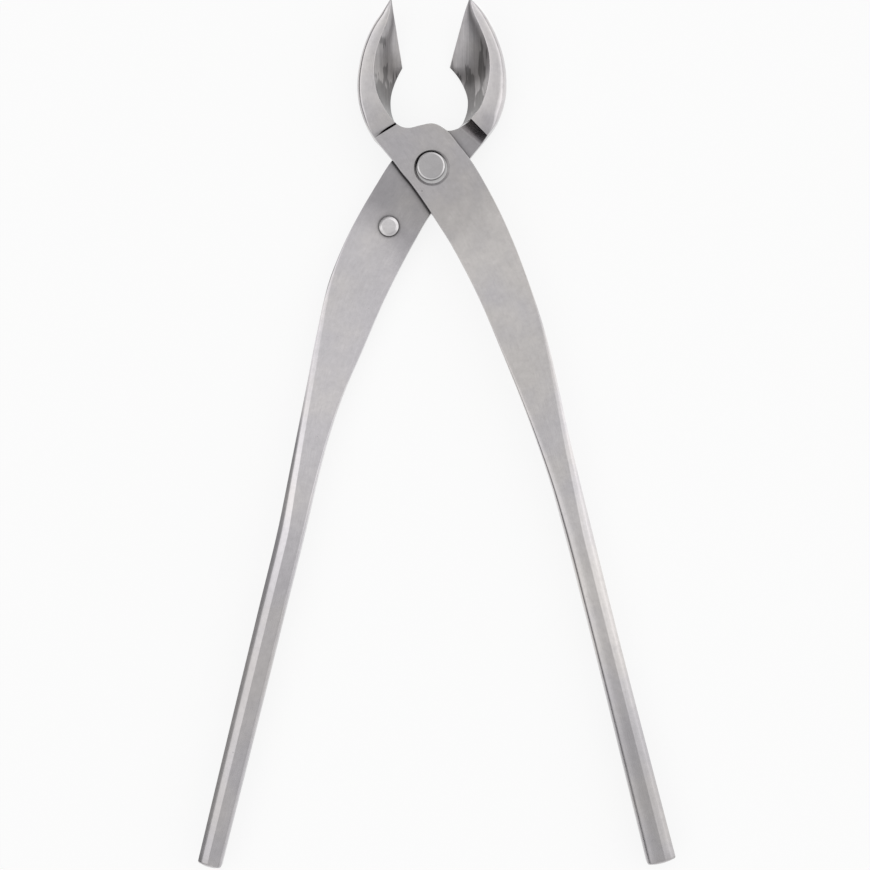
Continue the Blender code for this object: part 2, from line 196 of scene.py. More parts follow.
class TreeWriter:
    """Adds nodes to a tree and links them, so that a tree reads as a list of steps."""

    def __init__(self, tree: bpy.types.NodeTree) -> None:
        """Keeps the tree that the nodes go in."""
        self.tree = tree

    def add(self, kind: str, links: dict | None = None, **settings: object) -> bpy.types.Node:
        """Adds one node.

        Args:
            kind: the node's type name.
            links: input name or number to what feeds it.
            settings: properties set on the node first.

        Returns:
            The new node.
        """
        node = self.tree.nodes.new(kind)
        for name, value in settings.items():
            setattr(node, name, value)
        for name, value in (links or {}).items():
            self.feed(node.inputs[name], value)
        return node

    def feed(self, socket: bpy.types.NodeSocket, value: object) -> None:
        """Feeds an input with a value of the tree, another socket or a plain value."""
        value = value.socket if isinstance(value, Value) else value
        if isinstance(value, bpy.types.NodeSocket):
            self.tree.links.new(value, socket)
        else:
            socket.default_value = value

    def value(self, kind: str, links: dict | None = None, out: int | str = 0, **settings: object) -> Value:
        """Adds one node and gives one of its outputs."""
        return Value(self, self.add(kind, links, **settings).outputs[out])

    def math(self, operation: str, first: object, second: object = 0.0, third: object = 0.0) -> Value:
        """One Math node on values or numbers."""
        return self.value("ShaderNodeMath", {0: first, 1: second, 2: third}, operation=operation)

    def vector(self, operation: str, first: object, second: object, out: int = 0) -> Value:
        """One Vector Math node; its output 1 is a number."""
        return self.value("ShaderNodeVectorMath", {0: first, 1: second}, out, operation=operation)

    def noise(self, place: Value, scale: float, detail: float, rough: float) -> Value:
        """Plain noise, about 0.3 to 0.7."""
        links = {"Vector": place, "Scale": scale, "Detail": detail, "Roughness": rough}
        return self.value("ShaderNodeTexNoise", links)

    def band(self, value: Value, low: float, high: float) -> Value:
        """The value with the band from low to high spread softly over 0 to 1."""
        links = {0: value, 1: low, 2: high, 3: 0.0, 4: 1.0}
        return self.value("ShaderNodeMapRange", links, interpolation_type="SMOOTHSTEP")


class ShapeTree:
    """A Geometry Nodes tree with named inputs, and the means to run it on a mesh."""

    def __init__(self, name: str, inputs: dict[str, str]) -> None:
        """Starts the tree.

        Args:
            name: the tree's name.
            inputs: name to socket type of each input that only this tree has.
        """
        self.tree = bpy.data.node_groups.new(name, "GeometryNodeTree")
        face = self.tree.interface
        common = {"Closing distance": "Float", "Steel": "Material"}
        for title, kind in {"Geometry": "Geometry", **inputs, **common}.items():
            face.new_socket(title, in_out="INPUT", socket_type="NodeSocket" + kind)
        face.new_socket("Geometry", in_out="OUTPUT", socket_type="NodeSocketGeometry")
        self.write = TreeWriter(self.tree)
        self.given = self.write.add("NodeGroupInput").outputs

    def picked(self, geometry: object, value: Value, index: Value) -> Value:
        """A vector that the geometry's point of this index has."""
        links = {"Geometry": geometry, "Value": value, "Index": index}
        return self.write.value("GeometryNodeSampleIndex", links, data_type="FLOAT_VECTOR")

    def close(self, mesh: Value, turn: object) -> None:
        """Ends the tree: welds seams, turns faces, realises what is instanced and sets the finish."""
        write, given = self.write, self.given
        links = {"Geometry": mesh, "Distance": given["Closing distance"]}
        mesh = write.value("GeometryNodeMergeByDistance", links)
        mesh = write.value("GeometryNodeFlipFaces", {"Mesh": mesh, "Selection": turn})
        mesh = write.value("GeometryNodeRealizeInstances", {0: mesh})
        mesh = write.value("GeometryNodeSetMaterial", {"Geometry": mesh, "Material": given["Steel"]})
        write.add("NodeGroupOutput", {0: mesh})

    def run(self, name: str, source: bpy.types.Mesh, steel: GroundSteel, values: dict) -> bpy.types.Mesh:
        """Runs the tree on a mesh.

        Args:
            name: name of the mesh that comes out.
            source: the mesh that goes in.
            steel: its finish.
            values: a value for each input that only this tree has.

        Returns:
            A plain mesh with smooth shading.
        """
        values = {**values, "Closing distance": CLOSING_DISTANCE * MM, "Steel": steel.material()}
        holder = stand(name, source)
        modifier = holder.modifiers.new("shape", "NODES")
        modifier.node_group = self.tree
        for item in self.tree.interface.items_tree:
            if item.in_out == "INPUT" and item.name in values:
                modifier[item.identifier] = values[item.name]
        mesh = plain_mesh(holder, name)
        bpy.data.objects.remove(holder)
        mesh.shade_smooth()
        return mesh


def plain_mesh(holder: bpy.types.Object, name: str) -> bpy.types.Mesh:
    """The object's shape as a mesh of its own, with the modifiers' result in it."""
    bpy.context.view_layer.update()
    graph = bpy.context.evaluated_depsgraph_get()
    shape = holder.evaluated_get(graph)
    mesh = bpy.data.meshes.new_from_object(shape, preserve_all_data_layers=True, depsgraph=graph)
    mesh.name = name
    while mesh.materials and mesh.materials[0] is None:
        mesh.materials.pop(index=0)
    return mesh


def skin_tree() -> ShapeTree:
    """Tree that lays one closed skin over sections given as rows of points.

    Returns:
        The tree; the points' attribute lie gives (along, around, in the hollow). The first two become the UV
        map grain, and the third the attribute hollow.
    """
    inputs = {"Sections": "Int", "Points in a section": "Int", "Turn faces": "Bool"}
    shape = ShapeTree("skin_over_sections", inputs)
    write, given = shape.write, shape.given
    sizes = {"Vertices X": given["Sections"], "Vertices Y": given["Points in a section"]}
    mesh = write.value("GeometryNodeMeshGrid", sizes)
    index = write.value("GeometryNodeInputIndex")
    here = write.value("GeometryNodeInputPosition")
    lie = write.value("GeometryNodeInputNamedAttribute", {"Name": "lie"}, data_type="FLOAT_VECTOR")
    placed, carried = (shape.picked(given["Geometry"], value, index) for value in (here, lie))
    mesh = write.value("GeometryNodeSetPosition", {"Geometry": mesh, "Position": placed})
    for name, value, kind, domain in (
        ("lie", carried, "FLOAT_VECTOR", "POINT"),
        ("grain", lie, "FLOAT2", "CORNER"),
        ("hollow", write.value("ShaderNodeSeparateXYZ", {0: lie}, 2), "FLOAT", "POINT"),
    ):
        links = {"Geometry": mesh, "Name": name, "Value": value}
        mesh = write.value("GeometryNodeStoreNamedAttribute", links, data_type=kind, domain=domain)
    mesh = write.value("GeometryNodeRemoveAttribute", {"Geometry": mesh, "Name": "lie"})
    shape.close(mesh, given["Turn faces"])
    return shape


def turning_tree() -> ShapeTree:
    """Tree that turns a profile round Z after rounding its corners.

    Returns:
        The tree; it takes the profile as a chain of edges in the XZ plane.
    """
    shape = ShapeTree("turned_piece", {"Turn steps": "Int", "Corner radius": "Float", "Corner steps": "Int"})
    write, given = shape.write, shape.given
    chain = write.value("GeometryNodeMeshToCurve", {0: given["Geometry"]})
    links = {"Curve": chain, "Count": given["Corner steps"], "Radius": given["Corner radius"]}
    links["Limit Radius"] = True
    rounded = write.value("GeometryNodeFilletCurve", links, mode="POLY")
    profile = write.value("GeometryNodeCurveToMesh", {"Curve": rounded})
    count = write.value("GeometryNodeAttributeDomainSize", {0: profile}, "Point Count", component="MESH")
    steps = Value(write, given["Turn steps"])
    mesh = write.value("GeometryNodeMeshGrid", {"Vertices X": steps + 1.0, "Vertices Y": count})
    index = write.value("GeometryNodeInputIndex")
    column = write.math("FLOOR", write.math("DIVIDE", index, count))
    row = write.math("SUBTRACT", index, column * count)
    point = shape.picked(profile, write.value("GeometryNodeInputPosition"), row)
    links = {"Vector": point, "Angle": write.math("DIVIDE", column, steps) * math.tau}
    swung = write.value("ShaderNodeVectorRotate", links, rotation_type="Z_AXIS")
    shape.close(write.value("GeometryNodeSetPosition", {"Geometry": mesh, "Position": swung}), True)
    return shape


# Finishes


@dataclass(frozen=True)
class GroundSteel:
    """Satin ground stainless steel.

    The grain's fine lines lie along the arm or in circles, and stand in colour, roughness and relief. Soft
    clouds vary the warmth and the polish, and mottle and smudges the tone. Painted shade darkens the steel
    round the joint, in crevices and beside the other arm's edge, and the rods turn darker and rougher towards
    their ends. A painted highlight brightens a turned head's bevelled rim. Small pits and one nick mark the
    steel. A hollow is ground lengthwise in fine streaks, and painted shade darkens it, most in flames low
    down, beside one dark stain.
    """

    name: str
    cool: Colour
    warm: Colour
    roughness: float
    grain: Grain
    centre: Point = (0.0, 0.0)
    line_width: float = 0.16
    line_length: float = 5.0
    line_tone: float = 0.26
    line_polish: float = 0.10
    cloud_size: float = 24.0
    cloud_band: Point = (0.36, 0.64)
    cloud_polish: float = 0.12
    mottle_size: float = 1.6
    mottle_tone: float = 0.26
    smudge_size: float = 6.0
    smudge_tone: float = 0.16
    relief: float = 0.12
    relief_height: float = 0.02
    mottle_relief: float = 0.5
    mark_relief: float = 2.0
    mark_shade: float = 0.45
    mark_polish: float = 0.25
    pit_spacing: float = 3.2
    pit_share: float = 0.14
    pit_radius: float = 0.055
    pit_depth: float = 0.45
    nick: Point | None = None
    nick_radius: float = 0.35
    nick_core: float = 0.4
    # A painted highlight on a turned head's bevelled rim.
    rim_highlight: Point | None = None
    highlight_gain: float = 0.45
    # Darker and rougher towards the rods' ends.
    end_shade: float = 0.0
    end_reach: Point = (205.0, 255.0)
    end_roughness: float = 0.08
    # Painted shade: round the joint, in crevices and beside the other arm's edge.
    joint_shade: float = 0.0
    joint_reach: Point = (18.0, 38.0)
    joint_wander: float = 30.0
    crevice_shade: float = 0.7
    crevice_reach: float = 2.2
    lap_shade: float = 0.95
    lap_reach: float = 0.8
    lap_band: Point = (0.55, 0.85)
    # Painted shade in the hollow, darkest in flames low down; lengthwise ground streaks and one stain.
    has_hollow: bool = False
    hollow_polish: float = 0.10
    hollow_tone: Point = (-0.30, 0.63)
    streak_size: tuple[float, float, float] = (0.45, 12.0, 30.0)
    streak_tone: Point = (0.7, 0.65)
    flame_size: tuple[float, float, float] = (1.8, 10.0, 30.0)
    flame_top: float = 30.0
    flame_height: float = 11.0
    flame_reach: float = 5.0
    flame_edge: float = 0.25
    stain: Point | None = None
    stain_size: Point = (0.9, 2.0)
    stain_wander: float = 3.0
    stain_edge: Point = (-1.1, -0.8)

    def material(self) -> bpy.types.Material:
        """Builds the finish.

        Returns:
            A material on one Principled shader.
        """
        made = bpy.data.materials.new(self.name)
        made.use_nodes = True
        write = TreeWriter(made.node_tree)
        place = write.value("ShaderNodeTexCoord", out="Object")
        lines, marks = self.lines(write, place), self.marks(write, place)
        clouds = write.noise(place, 1 / (self.cloud_size * MM), 3.0, 0.55)
        mottle = write.noise(place, 1 / (self.mottle_size * MM), 4.0, 0.7)
        smudges = write.noise(place, 1 / (self.smudge_size * MM), 2.0, 0.6)
        warmth = write.band(clouds, *self.cloud_band)
        links = {0: warmth, 6: (*self.cool, 1), 7: (*self.warm, 1)}
        tint = write.value("ShaderNodeMix", links, 2, data_type="RGBA")
        shade = lines.swing(self.line_tone) * mottle.swing(self.mottle_tone) * smudges.swing(self.smudge_tone)
        # Painted shade round the joint, in crevices and beside the other arm.
        shade = shade * marks.fade(self.mark_shade) * self.painted_shade(write, place, clouds)
        polish = clouds.swing(self.cloud_polish, self.roughness) + lines.swing(self.line_polish, 0.0)
        polish = marks.scaled(self.mark_polish, polish)
        # Painted highlight: brighter colour on a band at the turned head's bevelled rim.
        if self.rim_highlight is not None:
            rim = write.band(self.reach(write, place), *(edge * MM for edge in self.rim_highlight))
            shade = shade * rim.scaled(self.highlight_gain, 1.0)
        if self.grain is Grain.ALONG_ARM:
            # Darker and rougher towards the rod's end.
            along = write.value("ShaderNodeSeparateXYZ", {0: write.value("ShaderNodeUVMap", uv_map="grain")})
            toward_end = write.band(along, *(at * MM for at in self.end_reach))
            shade = shade * toward_end.fade(self.end_shade)
            polish = toward_end.scaled(self.end_roughness, polish)
        if self.has_hollow:
            # Painted shade in the hollow and on the rear arm's shoulder ramp, darkest in flames low down.
            hollow = write.value("ShaderNodeAttribute", out="Fac", attribute_name="hollow")
            shade = shade * (hollow * self.flames(write, place).fade(1.0)).fade(1.0)
            polish = hollow.scaled(self.hollow_polish, polish)
        raised = lines + mottle * self.mottle_relief + marks * -self.mark_relief
        links = {"Strength": self.relief, "Distance": self.relief_height * MM, "Height": raised}
        bump = write.value("ShaderNodeBump", links)
        colour = write.value("ShaderNodeVectorMath", {0: tint, "Scale": shade}, operation="SCALE")
        inputs = made.node_tree.nodes["Principled BSDF"].inputs
        ends = {"Metallic": 1.0, "Base Color": colour, "Roughness": polish, "Normal": bump}
        for name, value in ends.items():
            write.feed(inputs[name], value)
        return made

    def painted_shade(self, write: TreeWriter, place: Value, clouds: Value) -> Value:
        """Painted shade: darker round the joint, in crevices and beside the other arm's edge.

        Args:
            write: the material's writer.
            place: object coordinates.
            clouds: the noise that the joint's dark patch wanders with.

        Returns:
            A factor on the colour, 1 where no shade is painted.
        """
        reach = write.vector("LENGTH", place, NOWHERE, 1) + clouds.swing(self.joint_wander * MM, 0.0)
        joint = write.band(reach, *(edge * MM for edge in self.joint_reach)).lift(self.joint_shade)
        open_air, close_air = (
            write.value("ShaderNodeAmbientOcclusion", {"Distance": far * MM}, "AO", samples=8)
            for far in (self.crevice_reach, self.lap_reach)
        )
        lap = write.band(close_air, *self.lap_band).lift(self.lap_shade)
        return joint * open_air.lift(self.crevice_shade) * lap

    def flames(self, write: TreeWriter, place: Value) -> Value:
        """The hollow's painted shade over its lengthwise ground streaks: dark flames that rise from below,
        and the stain.

        Returns:
            A factor on the colour, about 0.3 in a flame and 0.6 beside it.
        """
        tongues, streaks = (
            write.noise(write.vector("MULTIPLY", place, [1 / (s * MM) for s in size]), 1.0, detail, rough)
            for size, detail, rough in ((self.flame_size, 2.0, 0.5), (self.streak_size, 3.0, 0.6))
        )
        height = write.value("ShaderNodeSeparateXYZ", {0: place}, 1)
        depth = height.scaled(-1 / (self.flame_height * MM), self.flame_top / self.flame_height)
        flame = write.band(depth + tongues.swing(self.flame_reach, 0.0), 0.0, self.flame_edge)
        if self.stain is not None:
            (wide, tall), (x, y) = self.stain_size, self.stain
            scaled = write.vector("MULTIPLY", place, (1 / (wide * MM), 1 / (tall * MM), 0.0))
            away = write.vector("DISTANCE", scaled, (x / wide, y / tall, 0.0), 1)
            away = away + streaks.swing(self.stain_wander, 0.0)
            flame = write.math("MAXIMUM", flame, write.band(away * -1.0, *self.stain_edge))
        return flame.scaled(*self.hollow_tone) * streaks.scaled(*self.streak_tone)

    def reach(self, write: TreeWriter, place: Value) -> Value:
        """The distance from the turning axis."""
        x, y = self.centre
        level = write.vector("MULTIPLY", place, (1.0, 1.0, 0.0))
        return write.vector("DISTANCE", level, (x * MM, y * MM, 0.0), 1)

    def lines(self, write: TreeWriter, place: Value) -> Value:
        """The grinding lines: a value that wanders about 0.5 across them."""
        fine = 1 / (self.line_width * MM)
        if self.grain is Grain.ALONG_ARM:
            lie = write.value("ShaderNodeUVMap", uv_map="grain")
            spread = write.vector("MULTIPLY", lie, (1 / (self.line_length * MM), fine, 1.0))
        else:
            height = write.value("ShaderNodeSeparateXYZ", {0: place}, 2)
            ring = self.reach(write, place) * fine
            spread = write.value("ShaderNodeCombineXYZ", {0: ring, 2: height * fine})
        return write.noise(spread, 1.0, 3.0, 0.6)

    def marks(self, write: TreeWriter, place: Value) -> Value:
        """Sparse small pits, and the nick where there is one: 0 on clean steel, 1 in a mark."""
        links = {"Vector": place, "Scale": 1 / (self.pit_spacing * MM)}
        cell = write.add("ShaderNodeTexVoronoi", links).outputs
        draw = write.value("ShaderNodeSeparateColor", {0: cell[1]})
        chosen = write.math("GREATER_THAN", draw, 1 - self.pit_share)
        pits = chosen * write.math("LESS_THAN", cell[0], self.pit_radius) * self.pit_depth
        if self.nick is None:
            return pits
        level = write.vector("MULTIPLY", place, (1.0, 1.0, 0.0))
        away = write.vector("DISTANCE", level, (self.nick[0] * MM, self.nick[1] * MM, 0.0), 1)
        radius = self.nick_radius * MM
        return write.math("MAXIMUM", pits, write.band(away * -1.0, -radius, -self.nick_core * radius))


# Arms


@dataclass(frozen=True)
class CrossCut:
    """One cut across the neck: its centre, its width, and the arm's angle from -Y in degrees."""

    centre: Point
    width: float
    lean: float

    def side(self, sign: int) -> Point:
        """The point on the mouth side (sign 1) or on the back side (sign -1)."""
        lean = math.radians(self.lean)
        half = sign * self.width / 2
        return (self.centre[0] + half * math.cos(lean), self.centre[1] + half * math.sin(lean))


@dataclass(frozen=True)
class Lap:
    """Heights of the stack that both arms share."""

    jaw_back: float
    jaw_front: float
    front_top: float
    plate: float = 4.6
    gap: float = 0.3

    @classmethod
    def of_frame(cls) -> Lap:
        """Reads the heights off the CAD frame: the rear jaw has the full depth, the front plate the top."""
        back, front = heights(ArmSide.REAR.value)
        return cls(back, front, heights(ArmSide.FRONT.value)[1])

    @property
    def middle(self) -> float:
        """The height half-way between the two plates, where the handles lie."""
        return self.front_top - self.plate - self.gap / 2


@dataclass
class Arm:
    """One forged arm: a hollow-ground jaw, a lapped plate, a neck and a rod handle.

    Each jaw station is (back, rim, mouth) from the tip to the shoulder. Plate stations are (back, mouth). A
    rod round is the share of the section's width, then of its height, that the corner on that side takes up.
    """

    side: ArmSide
    lap: Lap
    jaw: list[tuple[Point, Point, Point]]
    plate: list[tuple[Point, Point]]
    neck: list[CrossCut]
    rod_length: float
    rod_lean: float
    rod_widths: list[float]
    band_round: float
    back_round_start: float
    mouth_round_start: float
    finish: GroundSteel
    rod_back_round: Point
    rod_mouth_round: Point
    corner: int = 5
    hollow_depth: float = 0.8
    rim_round: float = 0.14
    edge_round: float = 0.05
    plate_edge_round: float = 0.2
    facet_share: float = 0.4
    edge_blur: float = 3.0
    band_crown: float = 0.10
    tip_edge_drop: float = 0.8
    tip_depth: float = 1.6
    tip_top_drop: float = 0.3
    corner_edge_height: float = 0.5
    shoulder_ramp: float = 3.2
    shoulder_step: float = 1.1
    notch_width: float = 0.9
    notch_depth: float = 1.4
    neck_start: float = 34.0
    rod_start: float = 113.0
    end_round: float = 0.9
    end_dome: float = 0.74
    corner_places: tuple[float, ...] = (0.0, 0.05, 0.25, 0.45, 0.55, 0.75, 0.95, 1.0)
    hollow_steps: int = 18
    flat_steps: int = 5
    flat_inset: float = 0.012
    station_counts: tuple[int, ...] = (60, 60, 10, 28, 80, 64, 40)
    ramp_crowding: float = 1.6
    seam_gap: float = 0.04
    step_share: float = 0.05
    band_fade: float = 0.35
    most_of_band: float = 0.45
    most_of_wall: float = 0.4
    most_of_rim: float = 0.3
    band_rise: float = 1.4
    band_foot: float = 0.6
    blur_steps: int = 400
    dome_steps: int = 12
    full_hollow_width: float = 9.0
    rails: Array = field(init=False)
    knots: Array = field(init=False)

    def __post_init__(self) -> None:
        """Works out the three plan lines and the distances along the arm."""
        plate = [(back, mouth, mouth) for back, mouth in self.plate]
        self.handle = self.cross_cuts()
        handle = [(cut.side(-1), cut.side(1), cut.side(1)) for cut in self.handle]
        self.rails = np.array(list(self.jaw) + plate + handle, float)
        middle = self.rails[:, [0, 2]].mean(axis=1)
        steps = np.linalg.norm(np.diff(middle, axis=0), axis=1)
        self.knots = np.concatenate([[0.0], np.cumsum(steps)])
        self.corner_at = float(self.knots[self.corner])
        self.seam_at = float(self.knots[len(self.jaw) - 1])
        self.neck_at = self.reach(self.neck_start)
        self.rod_at = self.reach(self.rod_start)
        widths = np.linalg.norm(self.rails[:, 2] - self.rails[:, 0], axis=1)
        self.rod_radius = float(np.interp(self.rod_at, self.knots, widths)) / 2
        front = self.side is ArmSide.FRONT
        self.top = self.lap.front_top if front else self.lap.front_top - self.lap.plate - self.lap.gap
        self.bottom = self.top - self.lap.plate

    def cross_cuts(self) -> list[CrossCut]:
        """The cuts across the handle, from the neck to the rod's end."""
        start = self.neck[-1].centre
        lean = math.radians(self.rod_lean)
        rod = []
        for step, width in enumerate(self.rod_widths, 1):
            along = self.rod_length * step / len(self.rod_widths)
            centre = (start[0] + along * math.sin(lean), start[1] - along * math.cos(lean))
            rod.append(CrossCut(centre, width, self.rod_lean))
        return self.neck + rod

    def reach(self, below: float) -> float:
        """The distance along the arm at which it is this far below the pivot."""
        first = len(self.jaw)
        middle = self.rails[first:, [0, 2], 1].mean(axis=1)
        return float(np.interp(below, -middle, self.knots[first:]))

    def stations(self) -> Array:
        """Where the sections stand: close at the tip, at the shoulder and round the joint."""
        counts, gap = self.station_counts, self.seam_gap
        tip = self.corner_at * (1 - np.cos(np.linspace(0, math.pi / 2, counts[0])))
        throat = np.linspace(self.corner_at, self.seam_at - self.notch_width, counts[1])
        notch = np.linspace(self.seam_at - self.notch_width, self.seam_at - gap, counts[2])
        ramp = self.seam_at + self.shoulder_ramp * np.linspace(0, 1, counts[3]) ** self.ramp_crowding + gap
        plate = np.linspace(ramp[-1], self.neck_at, counts[4])
        neck = np.linspace(self.neck_at, self.rod_at, counts[5])
        rod = np.linspace(self.rod_at, self.knots[-1], counts[6])
        return np.unique(np.concatenate([tip, throat, notch, ramp, plate, neck, rod]))

    def levels(self, at: float, half_width: float) -> tuple[float, float, float, float]:
        """Heights of a section's four corners.

        Args:
            at: distance along the arm.
            half_width: half of the section's width.

        Returns:
            Heights of the back's low corner, the back's high corner, the rim and the mouth's low corner.
        """
        low, high = self.lap.jaw_back, self.lap.jaw_front
        if at < self.corner_at:
            share = at / self.corner_at
            nose = 1 - math.sqrt(1 - (1 - share) ** 2)
            edge = blend(high - self.tip_edge_drop, low + self.corner_edge_height, share)
            top = high - self.tip_top_drop * (1 - share) ** 4
            return blend(low, high - self.tip_depth, nose), top, top, edge
        past = at - self.seam_at
        in_front = self.side is ArmSide.REAR
        if past < 0:
            fade = (at - self.corner_at) / (self.seam_at - self.corner_at)
            notch = 0.0 if in_front else self.notch_depth * ease(1 + past / self.notch_width)
            return low, high, high - notch, low + self.corner_edge_height * (1 - fade)
        ramp = 1 - min(past / self.shoulder_ramp, 1.0)
        under, over = blend(self.bottom, low, ramp**2), self.top
        if in_front and ramp > 0:
            drop = self.shoulder_step * min(past / (self.step_share * self.shoulder_ramp), 1.0)
            over = blend(self.top, high - drop, ramp**2)
        roundness = ease((at - self.neck_at) / (self.rod_at - self.neck_at))
        half = half_width if at > self.rod_at else self.rod_radius
        under = blend(under, self.lap.middle - half, roundness)
        over = blend(over, self.lap.middle + half, roundness)
        return under, over, over, under

    def setbacks(self, at: float, corners: list[Array]) -> tuple[list[tuple[float, float]], float]:
        """How far each corner is rounded back.

        Args:
            at: distance along the arm.
            corners: the section's four corners.

        Returns:
            For each corner the setback along the wall and along the face, and how far the mouth side's
            corners are faceted rather than round, from 0 to 1.
        """
        low, high, rim, _ = corners
        band = float(np.linalg.norm(rim - high))
        wall = float(np.linalg.norm(high - low))
        if at <= self.seam_at:
            fade = ease((self.seam_at - at) / (self.band_fade * (self.seam_at - self.corner_at)))
            side = min(blend(self.plate_edge_round, self.band_round, fade), self.most_of_band * band)
            rise = min(self.band_rise * side, self.most_of_wall * wall)
            rim_back = min(self.rim_round, self.most_of_rim * band)
            sharp = [(rim_back, rim_back), (self.edge_round, self.edge_round)]
            return [(rise, self.band_foot * side), (rise, side)] + sharp, 0.0
        pairs = []
        for begin, (face_share, wall_share) in (
            (self.back_round_start, self.rod_back_round),
            (self.mouth_round_start, self.rod_mouth_round),
        ):
            begins = self.reach(begin)
            share = min(max((at - begins) / (self.rod_at - begins), 0.0), 1.0)
            small, grown = self.plate_edge_round, share**1.5
            pairs.append((blend(small, wall * wall_share, grown), blend(small, band * face_share, grown)))
        near, far = pairs
        return [near, near, far, far], ease(3 * share)

    def rounded(self, start: Array, corner: Array, end: Array, facet: float = 0.0) -> list[Array]:
        """Points of an elliptical arc between a corner's two sides, mixed with two facets.

        Args:
            start: where the corner starts.
            corner: the sharp corner.
            end: where it ends.
            facet: the share of the facets in the mix.

        Returns:
            The points, crowded at the creases so that the facets shade flat.
        """
        weight = math.sqrt(0.5)
        crease = corner + (start + end - 2 * corner) * self.facet_share
        points = []
        for t in self.corner_places:
            parts = ((1 - t) ** 2, 2 * weight * t * (1 - t), t**2)
            arc = (start * parts[0] + corner * parts[1] + end * parts[2]) / sum(parts)
            flat = blend(start, crease, 2 * t) if t < 0.5 else blend(crease, end, 2 * t - 1)
            points.append(blend(arc, flat, facet))
        return points

    def flat(self, start: Array, end: Array, crown: float = 0.0) -> list[Array]:
        """Points between two corners, crowded at the ends so that the face shades flat."""
        shares = 0.5 - 0.5 * np.cos(np.linspace(0, math.pi, self.flat_steps + 2))[1:-1]
        shares = np.concatenate([[self.flat_inset], shares, [1 - self.flat_inset]])
        rise = np.array((0.0, 0.0, crown))
        return [blend(start, end, s) + rise * 4 * s * (1 - s) for s in shares]

    def section(
        self, at: float, back: Array, rim: Array, mouth: Array, soft: Array
    ) -> tuple[list[Array], list[float]]:
        """One closed section.

        Args:
            at: distance along the arm.
            back: plan point of the back line.
            rim: plan point of the hollow's rim.
            mouth: plan point of the mouth line.
            soft: how far the edge's corner is smoothed away in the hollow's middle.

        Returns:
            Its points, from the back's low corner over the front to the mouth and home along the back face,
            and for each point how far painted shade darkens it, in the hollow or on the shoulder's ramp, 0 to
            1.
        """
        level = self.levels(at, float(np.linalg.norm(mouth - back)) / 2)
        corners = [np.array((*p, z)) for p, z in zip((back, back, rim, mouth), level)]
        low, high, top, edge = corners
        (back_low, back_high, rim_back, edge_back), facet = self.setbacks(at, corners)
        jaw = max(0.0, min((self.seam_at - at) / (self.seam_at - self.corner_at), 1.0))
        width = float(np.linalg.norm(edge - top))
        bulge = self.hollow_depth * ease(jaw) * min(1.0, width / self.full_hollow_width)
        chord = (edge - top) / max(width, 1e-9)
        across = np.array((*(mouth - back), 0.0))
        across /= np.linalg.norm(across)
        inward = np.array((0.0, 0.0, -1.0)) * abs(chord @ across) - across * abs(chord[2])

        def hollow(share: float) -> Array:
            """A point on the hollow, from the rim to the edge."""
            straight = blend(top, edge, share) + soft * share * (1 - share**4)
            return straight + inward * bulge * 4 * share * (1 - share)

        rim_share = min(rim_back[0] / width, 0.5)
        edge_share = 1 - min(edge_back[0] / width, 0.5)
        crown = self.band_crown * ease(jaw * 3)
        points = self.rounded(toward(low, edge, back_low[1]), low, toward(low, high, back_low[0]))
        up = self.rounded(toward(high, low, back_high[0]), high, toward(high, top, back_high[1]))
        points += self.flat(points[-1], up[0]) + up
        over = self.rounded(toward(top, high, rim_back[1]), top, hollow(rim_share), facet)
        past = (at - self.seam_at) / self.shoulder_ramp
        # Painted shade on the rear arm's shoulder ramp: darkest at the shoulder, gone at the ramp's foot.
        dark = (1 - past) ** 1.5 if self.side is ArmSide.REAR and 0 < past < 1 else 0.0
        inside = [0.0] * len(points)
        points += self.flat(up[-1], over[0], crown) + over
        inside += [dark] * (len(points) - len(inside) - 1)
        for share in 0.5 - 0.5 * np.cos(np.linspace(0, math.pi, self.hollow_steps))[1:-1]:
            points.append(hollow(blend(rim_share, edge_share, share)))
        inside += [float(jaw > 0)] * (len(points) - len(inside))
        points += self.rounded(hollow(edge_share), edge, toward(edge, low, edge_back[1]), facet)
        points += self.flat(points[-1], points[0])
        return points, inside + [0.0] * (len(points) - len(inside))

    def smoothing(self, where: Array, lines: list[Array]) -> Array:
        """How far the cutting edge's corner moves when the edge is averaged along its length.

        Args:
            where: distances along the arm.
            lines: plan points of the back, the rim and the mouth at those distances.

        Returns:
            One offset for each distance, nothing past the shoulder.
        """
        depth = [self.levels(at, 1.0)[3] for at in where]
        edge = np.column_stack([lines[2], depth])
        jaw = where < self.seam_at - self.notch_width
        even = np.linspace(0.0, where[jaw][-1], self.blur_steps)
        even_edge = np.column_stack([np.interp(even, where[jaw], column[jaw]) for column in edge.T])
        offset = np.zeros_like(edge)
        for i in np.flatnonzero(jaw):
            room = min(where[i], even[-1] - where[i])
            width = max(min(self.edge_blur, room / 2), 0.05)
            share = np.exp(-(((even - where[i]) / width) ** 2) / 2)
            offset[i] = (even_edge * share[:, None]).sum(axis=0) / share.sum() - edge[i]
        return offset

